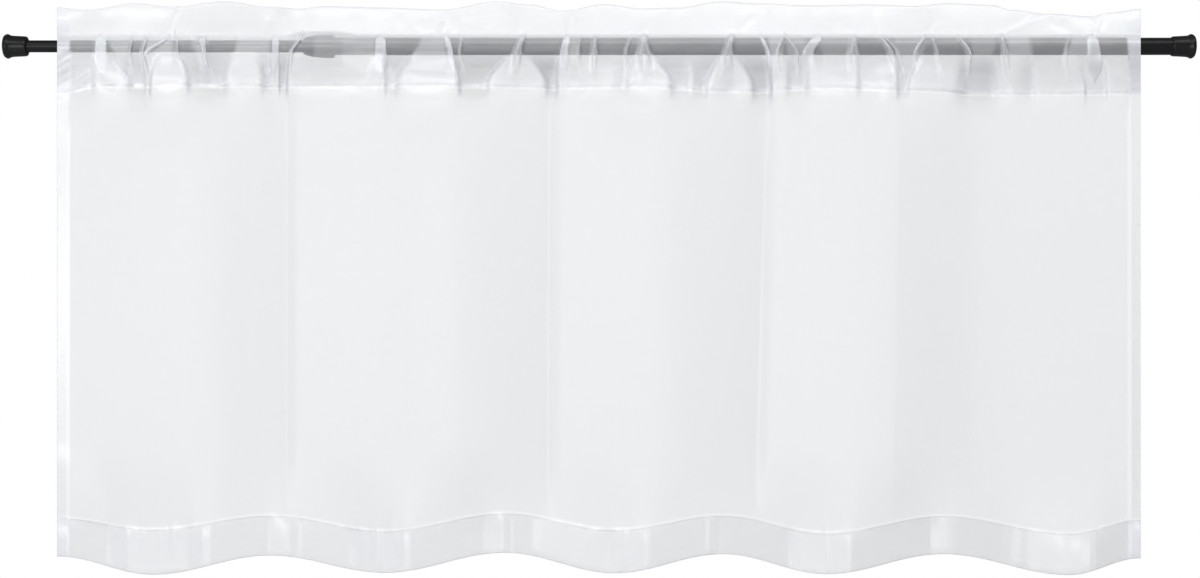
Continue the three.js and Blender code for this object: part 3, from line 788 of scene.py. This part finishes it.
def handled_finish_group():
    """Smooth black finish with faint rubbing along its length and fine unevenness."""
    group, given, out = effect_group(
        "handled_finish",
        [("Place", "Vector"), ("Roughness", "Float", 0.2), ("Rubbing", "Float", 0.08)],
        ["Roughness", "Height", "Dust"],
    )
    rubbed = noise(group, stretched(group, given["Place"], RUBBED_ALONG))
    cloudy = noise(group, given["Place"], scale=160, detail=4)
    uneven = calc(group, "MULTIPLY_ADD", rubbed, given["Rubbing"], given["Roughness"])
    rough = calc(group, "MULTIPLY_ADD", cloudy, given["Rubbing"], uneven, clamp=True)
    group.links.new(rough, out.inputs["Roughness"])
    group.links.new(cloudy, out.inputs["Height"])
    group.links.new(calc(group, "MULTIPLY", rubbed, cloudy), out.inputs["Dust"])
    return group


def voile_material(cloth, flat_width, flat_length):
    """Sheer white voile: open weave, thicker to the eye where it turns edge-on or is crowded."""
    material, tree = new_material("white_voile")
    uv = node(tree, "UVMap", uv_map="cut").outputs[0]
    scale = (flat_width, flat_length, 1)
    cut = node(tree, "Mapping", [("Vector", uv), ("Scale", scale)]).outputs[0]
    threads = node(
        tree, "Group", [("Cut", cut), ("Thread Pitch", cloth.thread_pitch)],
        node_tree=plain_weave_group(),
    ).outputs
    layers = node(tree, "Attribute", attribute_name="layers").outputs["Fac"]
    facing = node(tree, "LayerWeight", [("Blend", 0.5)]).outputs["Facing"]
    slant = calc(tree, "MAXIMUM", calc(tree, "SUBTRACT", 1, facing), LEAST_FACING)
    gap = calc(tree, "MULTIPLY_ADD", threads["Density"], -cloth.cover, 1, clamp=True)
    passed = calc(tree, "POWER", gap, calc(tree, "DIVIDE", layers, slant))
    cover = calc(tree, "SUBTRACT", 1, passed, clamp=True)
    crumples = noise(tree, cut, scale=38, detail=3, roughness=0.45)
    crumpled = bumped(tree, crumples, strength=0.25, distance=0.0012)
    woven = bumped(tree, threads["Height"], strength=0.2, distance=0.0001, onto=crumpled)
    # The yarn's colour is painted from this attribute: whiter where layers stack, partly real and
    # partly painted light, and darker as painted shade in the hollows.
    crowding_and_painted_light = node(tree, "Attribute", attribute_name="crowding_and_painted_light").outputs["Fac"]
    white = node(tree, "ValToRGB", [("Fac", calc(tree, "DIVIDE", crowding_and_painted_light, PACKED))])
    stops = (0, cloth.hollow_shade_colour), (1 / PACKED, cloth.colour), (1, cloth.crowded_and_lit_colour)
    white.color_ramp.elements.new(stops[1][0])
    for stop, (at, colour) in zip(white.color_ramp.elements, stops):
        stop.position, stop.color = at, (*colour, 1)
    tint = white.outputs["Color"]
    pressed = node(
        tree, "MapRange", [("Value", crowding_and_painted_light), ("From Min", 1.2), ("From Max", 1.7)]
    ).outputs[0]
    lit = node(
        tree, "BsdfPrincipled",
        [("Base Color", tint), ("Roughness", 0.36), ("Specular IOR Level", 0.5),
         ("Coat Weight", pressed), ("Coat Roughness", 0.24), ("Sheen Weight", 0.35),
         ("Sheen Roughness", 0.35), ("Normal", woven)],
    ).outputs[0]
    through = node(tree, "BsdfTranslucent", [("Color", tint), ("Normal", crumpled)]).outputs[0]
    yarn = node(tree, "MixShader", [(0, SHONE_THROUGH), (1, lit), (2, through)]).outputs[0]
    between = node(tree, "BsdfTransparent").outputs[0]
    voile = node(tree, "MixShader", [(0, cover), (1, between), (2, yarn)]).outputs[0]
    node(tree, "OutputMaterial", [("Surface", voile)])
    return material


def black_material(name, colour, roughness, rubbing, gloss):
    """Glossy black, enamelled or moulded."""
    material, tree = new_material(name)
    place = node(tree, "TexCoord").outputs["Object"]
    finish = node(
        tree, "Group", [("Place", place), ("Roughness", roughness), ("Rubbing", rubbing)],
        node_tree=bpy.data.node_groups["handled_finish"],
    ).outputs
    bump = bumped(tree, finish["Height"], strength=0.12, distance=0.0002)
    paler = [part * RUBBED_PALER for part in colour]
    base = node(
        tree, "Mix", [("Factor", finish["Dust"]), (6, (*colour, 1)), (7, (*paler, 1))],
        data_type="RGBA",
    ).outputs[2]
    shader = node(
        tree, "BsdfPrincipled",
        [("Base Color", base), ("Roughness", finish["Roughness"]),
         ("Specular IOR Level", gloss), ("Normal", bump)],
    ).outputs[0]
    node(tree, "OutputMaterial", [("Surface", shader)])
    return material


def new_object(name, data):
    """A new object in the scene."""
    made = bpy.data.objects.new(name, data)
    bpy.context.scene.collection.objects.link(made)
    return made


def new_mesh(name, build, material):
    """A mesh from a bmesh."""
    mesh = bpy.data.meshes.new(name)
    build.to_mesh(mesh)
    build.free()
    mesh.materials.append(material)
    return mesh


def new_piece(name, build, material):
    """A new object shaded smooth, riding on the curtain's one body."""
    piece = new_object(name, new_mesh(name, build, material))
    piece.data.shade_smooth()
    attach(piece, "root")
    return piece


def cloth_mesh(points, layers, crowding_and_painted_light, columns, along):
    """The cloth's grid of faces, with its place on the flat cut as its UV map."""
    n_rows, n_columns = layers.shape
    build = bmesh.new()
    bmesh.ops.create_grid(build, x_segments=n_columns - 1, y_segments=n_rows - 1, size=0.5)
    layers_here = build.verts.layers.float.new("layers")
    crowding_here = build.verts.layers.float.new("crowding_and_painted_light")
    uv = build.loops.layers.uv.new("cut")
    place = np.r_[0, np.cumsum(np.abs(np.diff(columns["place"])))]
    across = place / place[-1]
    spots = {}
    for vert in build.verts:
        i = round((vert.co.y + 0.5) * (n_rows - 1))
        j = round((vert.co.x + 0.5) * (n_columns - 1))
        spots[vert.index] = (across[j], along[i])
        vert[layers_here], vert[crowding_here] = layers[i, j], crowding_and_painted_light[i, j]
        vert.co = points[i, j]
    for face in build.faces:
        for loop in face.loops:
            loop[uv].uv = spots[loop.vert.index]
    return build


# ------------------------ the rod's pieces, in millimetres
def turned_piece(name, profile, material, facets=96, sharp_over=38):
    """A piece turned about the rod's axis; the profile is a closed loop of (x, radius) in mm."""
    build = bmesh.new()
    corners = [build.verts.new((x * MM, 0, r * MM)) for x, r in profile]
    edges = [build.edges.new((a, b)) for a, b in zip(corners, corners[1:])]
    if profile[0][1] > 0:
        edges.append(build.edges.new((corners[-1], corners[0])))
    bmesh.ops.spin(
        build, geom=corners + edges, cent=(0, 0, 0), axis=(1, 0, 0), angle=2 * math.pi,
        steps=facets, use_merge=True,
    )
    bmesh.ops.remove_doubles(build, verts=build.verts, dist=1e-6)
    bmesh.ops.recalc_face_normals(build, faces=build.faces)
    piece = new_piece(name, build, material)
    piece.data.set_sharp_from_angle(angle=math.radians(sharp_over))
    return piece


def curve_through(points, steps=5):
    """A smooth profile through the given points (Catmull-Rom)."""
    padded = [points[0], *points, points[-1]]
    out = []
    for a, b, c, d in zip(padded, padded[1:], padded[2:], padded[3:]):
        for i in range(steps):
            t = i / steps
            out.append(tuple(
                0.5 * (2 * q + (r - p) * t + (2 * p - 5 * q + 4 * r - s) * t * t
                       + (3 * q - p - 3 * r + s) * t ** 3)
                for p, q, r, s in zip(a, b, c, d)
            ))
    return [*out, tuple(points[-1])]


# Outlines as (x, radius) from the left wall. A tube is its radius, start and end. The cap goes
# from its face over its outside, lip, mouth and rim into its bore.
ROD_LENGTH = 1308
TUBE_WALL, TUBE_ROUND, TUBE_SEAT = 0.6, 0.2, 4.6
THIN_TUBE = (6.6, TUBE_SEAT, 1004.3)
THICK_TUBE = (9.5, 334, ROD_LENGTH - TUBE_SEAT)
COLLAR = (
    (333.7, 6.9), (329.6, 6.9), (329.05, 7.3), (329, 8.2), (329.5, 8.95), (330.6, 9.4),
    (334, 10.2), (340, 11.7), (347, 12.35), (355, 12.7), (360.4, 12.8), (361.5, 12.5),
    (362, 11.8), (362, 10), (361.8, 9.8), (333.7, 9.8),
)
CAP_FACE = ((0.5, 0), (0.5, 8.6), (0, 9.2), (0, 11.2), (0.25, 11.8))
CAP_OUTSIDE = (
    (0.9, 12.3), (2.2, 13.2), (3.6, 13.5), (5, 13), (6.6, 12.2), (8.6, 11.75),
    (12, 11.5), (17, 11.25), (21.6, 11.05),
)
CAP_LIP, CAP_MOUTH = (23.6, 10.85), (24.6, 10.2)
CAP_RIM, BORE_ROUND, BORE_START, BORE_END = 25, (24.9, 0.35), 24.4, 4.5
BORE_LOOSE = 0.3


def tube_profile(radius, start, end):
    """A thin-walled tube with rounded outer edges."""
    inside, shoulder = radius - TUBE_WALL, radius - TUBE_ROUND
    return [(start, inside), (start, shoulder), (start + TUBE_ROUND, radius),
            (end - TUBE_ROUND, radius), (end, shoulder), (end, inside)]


def cap_profile(bore):
    """Outside of the wall cap from its face to its mouth, then back down its bore."""
    outside = curve_through(CAP_OUTSIDE)
    rim = (CAP_RIM, (CAP_MOUTH[1] + bore) / 2)
    rounded = (BORE_ROUND[0], bore + BORE_ROUND[1])
    mouth = curve_through([outside[-1], CAP_LIP, CAP_MOUTH, rim, rounded])
    return [*CAP_FACE, *outside, *mouth[1:], (BORE_START, bore), (BORE_END, bore), (BORE_END, 0)]


# ------------------------ what a user sets
COLOUR = {"subtype": "COLOR", "min": 0, "max": 1}
POWER = {"unit": "POWER", "min": 0}


class CurtainCloth(bpy.types.PropertyGroup):
    colour: FloatVectorProperty(
        name="Voile colour", description="Colour of the curtain's yarn",
        default=(0.645, 0.665, 0.712), **COLOUR,
    )
    # Painted shade: the dark greenish colour that the yarn is painted deep in the pocket's hollows.
    hollow_shade_colour: FloatVectorProperty(
        name="Hollow colour", description="Colour of the yarn deep in the pocket's hollows",
        default=(0.44, 0.46, 0.36), **COLOUR,
    )
    # Partly painted light: the yarn where folds stack it up is painted whiter for light scattered
    # between the layers.
    crowded_and_lit_colour: FloatVectorProperty(
        name="Crowded colour", description="Colour of the yarn where folds stack it up",
        default=(0.955, 0.97, 1), **COLOUR,
    )
    cover: FloatProperty(
        name="Cover", description="Share of one layer that is yarn rather than gaps",
        default=0.38, min=0.05, max=0.95, subtype="FACTOR",
    )
    thread_pitch: FloatProperty(
        name="Thread pitch", description="Distance from thread to thread",
        default=THREAD_PITCH, min=0.0001, max=0.005, unit="LENGTH",
    )


class RodFinish(bpy.types.PropertyGroup):
    enamel: FloatVectorProperty(
        name="Enamel colour", description="Colour of the rod's tubes",
        default=(0.008, 0.008, 0.009), **COLOUR,
    )
    plastic: FloatVectorProperty(
        name="Plastic colour", description="Colour of the caps and collar",
        default=(0.009, 0.009, 0.01), **COLOUR,
    )
    roughness: FloatProperty(
        name="Roughness", description="Roughness of the tubes' enamel",
        default=0.27, min=0, max=1, subtype="FACTOR",
    )


class StudioSet(bpy.types.PropertyGroup):
    floor_drop: FloatProperty(
        name="Floor below rod", description="Height of the rod above the floor",
        default=1.6, min=0.6, unit="LENGTH",
    )
    room_light: FloatProperty(
        name="Room light", description="Strength of the even light round the curtain",
        default=0.3, min=0,
    )
    top_light: FloatProperty(
        name="Top light", description="Power of the strip above the rod", default=15, **POWER
    )
    front_light: FloatProperty(
        name="Front light", description="Power of the strip in front", default=50, **POWER
    )
    strip_light: FloatProperty(
        name="Narrow strip", description="Power of the upright strip that picks out the hem",
        default=12, **POWER,
    )


# ------------------------ operators
class CAFE_OT_voile(bpy.types.Operator):
    """Hang the voile on the rod, with its ruffle, pocket and hems"""

    bl_idname = "cafe.voile"
    bl_label = "Hang the voile"

    def execute(self, context):
        points, layers, crowding_and_painted_light, columns, rows = hung_cloth()
        width, length, along = cloth_size(columns, rows)
        build = cloth_mesh(points * MM, layers, crowding_and_painted_light, columns, along)
        material = voile_material(context.scene.cafe_cloth, width, length)
        piece = new_piece("voile_curtain", build, material)
        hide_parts("curtain_panel")
        return {"FINISHED"}


class CAFE_OT_rod(bpy.types.Operator):
    """Turn the rod's two tubes, its collar and its wall caps"""

    bl_idname = "cafe.rod"
    bl_label = "Turn the rod"

    def execute(self, context):
        finish = context.scene.cafe_rod
        handled_finish_group()
        rough = finish.roughness
        enamel = black_material("black_enamel", finish.enamel, rough, rubbing=0.06, gloss=0.12)
        plastic = black_material(
            "gloss_black_plastic", finish.plastic, rough * PLASTIC_SMOOTHER, rubbing=0.1, gloss=0.14
        )
        for name, node_name, outline in (
            ("thin_tube", "rod_inner_tube", THIN_TUBE),
            ("thick_tube", "rod_outer_tube", THICK_TUBE),
        ):
            piece = turned_piece(name, tube_profile(*outline), enamel)
            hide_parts(node_name)
        left_cap = cap_profile(THIN_TUBE[0] + BORE_LOOSE)
        right_cap = cap_profile(THICK_TUBE[0] + BORE_LOOSE)
        for name, node_name, outline in (
            ("mouth_collar", "rod_collar", COLLAR),
            ("left_wall_cap", "end_cap_left", left_cap),
            ("right_wall_cap", "end_cap_right", [(ROD_LENGTH - x, r) for x, r in right_cap]),
        ):
            piece = turned_piece(name, outline, plastic)
            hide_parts(node_name)
        return {"FINISHED"}


# The stage, in metres, and its lens in millimetres. The lights are rectangles, each with its
# place, width and height. Then how bright the room is in reflections, and the most layers of
# cloth that light passes through.
CAMERA_AT, LENS, SENSOR = (0.6547, -2.2, -0.2669), 60, 36
LIT_MIDDLE = Vector((0.6547, 0, -0.25))
FLOOR_HALF, FLOOR_MIDDLE = 14, (0.65, -9)
TOP_STRIP = (0.8, -0.7, 0.75), 2.6, 0.25
FRONT_STRIP = (-0.9, -3, -0.3), 2, 0.3
CAMERA_STRIP = (0.6, -3.2, -0.75), 0.12, 0.9
MIRRORED_LIGHT, MOST_SEEN_THROUGH = 0.12, 40


def pale_floor(drop):
    """A wide white floor in front of the curtain."""
    material, tree = new_material("pale_floor")
    shader = node(
        tree, "BsdfPrincipled",
        [("Base Color", (0.9, 0.9, 0.9, 1)), ("Roughness", 0.9), ("Specular IOR Level", 0.1)],
    ).outputs[0]
    node(tree, "OutputMaterial", [("Surface", shader)])
    build = bmesh.new()
    bmesh.ops.create_grid(build, x_segments=1, y_segments=1, size=FLOOR_HALF)
    bmesh.ops.translate(build, verts=build.verts, vec=(*FLOOR_MIDDLE, -drop))
    new_object("pale_floor", new_mesh("pale_floor", build, material))


def even_room(room_light):
    """Even light from all round, white to the camera and darker in reflections."""
    world = bpy.data.worlds.new("studio")
    world.use_nodes = True
    tree = world.node_tree
    tree.nodes.clear()
    rays = node(tree, "LightPath").outputs
    seen, mirrored = rays["Is Camera Ray"], rays["Is Glossy Ray"]
    unseen = calc(tree, "SUBTRACT", 1, seen)
    strength = calc(tree, "MULTIPLY_ADD", mirrored, MIRRORED_LIGHT - room_light, room_light)
    strength = calc(tree, "MULTIPLY_ADD", unseen, strength, seen)
    shown = node(tree, "Background", [("Color", (1, 1, 1, 1)), ("Strength", strength)])
    node(tree, "OutputWorld", [("Surface", shown.outputs[0])])
    return world


def strip_light(name, power, spot, width, height):
    """A rectangular lamp that faces the curtain's middle."""
    lamp = bpy.data.lights.new(name, "AREA")
    lamp.shape = "RECTANGLE"
    lamp.size, lamp.size_y, lamp.energy = width, height, power
    light = new_object(name, lamp)
    light.location = spot
    light.rotation_euler = (LIT_MIDDLE - light.location).to_track_quat("-Z", "Y").to_euler()
    light.visible_camera = False


class CAFE_OT_stage(bpy.types.Operator):
    """Set the pale floor, the soft studio light and the camera"""

    bl_idname = "cafe.stage"
    bl_label = "Set the stage"

    def execute(self, context):
        scene, studio = context.scene, context.scene.cafe_studio
        pale_floor(studio.floor_drop)
        scene.world = even_room(studio.room_light)
        strip_light("top_strip", studio.top_light, *TOP_STRIP)
        strip_light("front_strip", studio.front_light, *FRONT_STRIP)
        strip_light("camera_strip", studio.strip_light, *CAMERA_STRIP)
        lens = bpy.data.cameras.new("front_camera")
        lens.lens, lens.sensor_width = LENS, SENSOR
        camera = new_object("front_camera", lens)
        camera.location = CAMERA_AT
        camera.rotation_euler = (math.radians(90), 0, 0)
        scene.camera = camera
        scene.view_settings.view_transform = "Standard"
        scene.cycles.transparent_max_bounces = MOST_SEEN_THROUGH
        return {"FINISHED"}


OPERATORS = (CAFE_OT_rod, CAFE_OT_voile, CAFE_OT_stage)


class CAFE_PT_panel(bpy.types.Panel):
    bl_label = "Cafe curtain"
    bl_idname = "CAFE_PT_panel"
    bl_space_type = "VIEW_3D"
    bl_region_type = "UI"
    bl_category = "Cafe curtain"

    def draw(self, context):
        scene = context.scene
        for settings in (scene.cafe_cloth, scene.cafe_rod, scene.cafe_studio):
            for key in settings.bl_rna.properties.keys():
                if key not in {"rna_type", "name"}:
                    self.layout.prop(settings, key)
        for operator in OPERATORS:
            self.layout.operator(operator.bl_idname)


CLASSES = (CurtainCloth, RodFinish, StudioSet, *OPERATORS, CAFE_PT_panel)


def register():
    for cls in CLASSES:
        bpy.utils.register_class(cls)
    bpy.types.Scene.cafe_cloth = PointerProperty(type=CurtainCloth)
    bpy.types.Scene.cafe_rod = PointerProperty(type=RodFinish)
    bpy.types.Scene.cafe_studio = PointerProperty(type=StudioSet)


def unregister():
    for name in ("cafe_cloth", "cafe_rod", "cafe_studio"):
        delattr(bpy.types.Scene, name)
    for cls in reversed(CLASSES):
        bpy.utils.unregister_class(cls)


def main():
    register()
    bpy.ops.cafe.rod()
    bpy.ops.cafe.voile()
    bpy.ops.cafe.stage()
    bpy.context.view_layer.update()


if __name__ == "__main__":
    main()
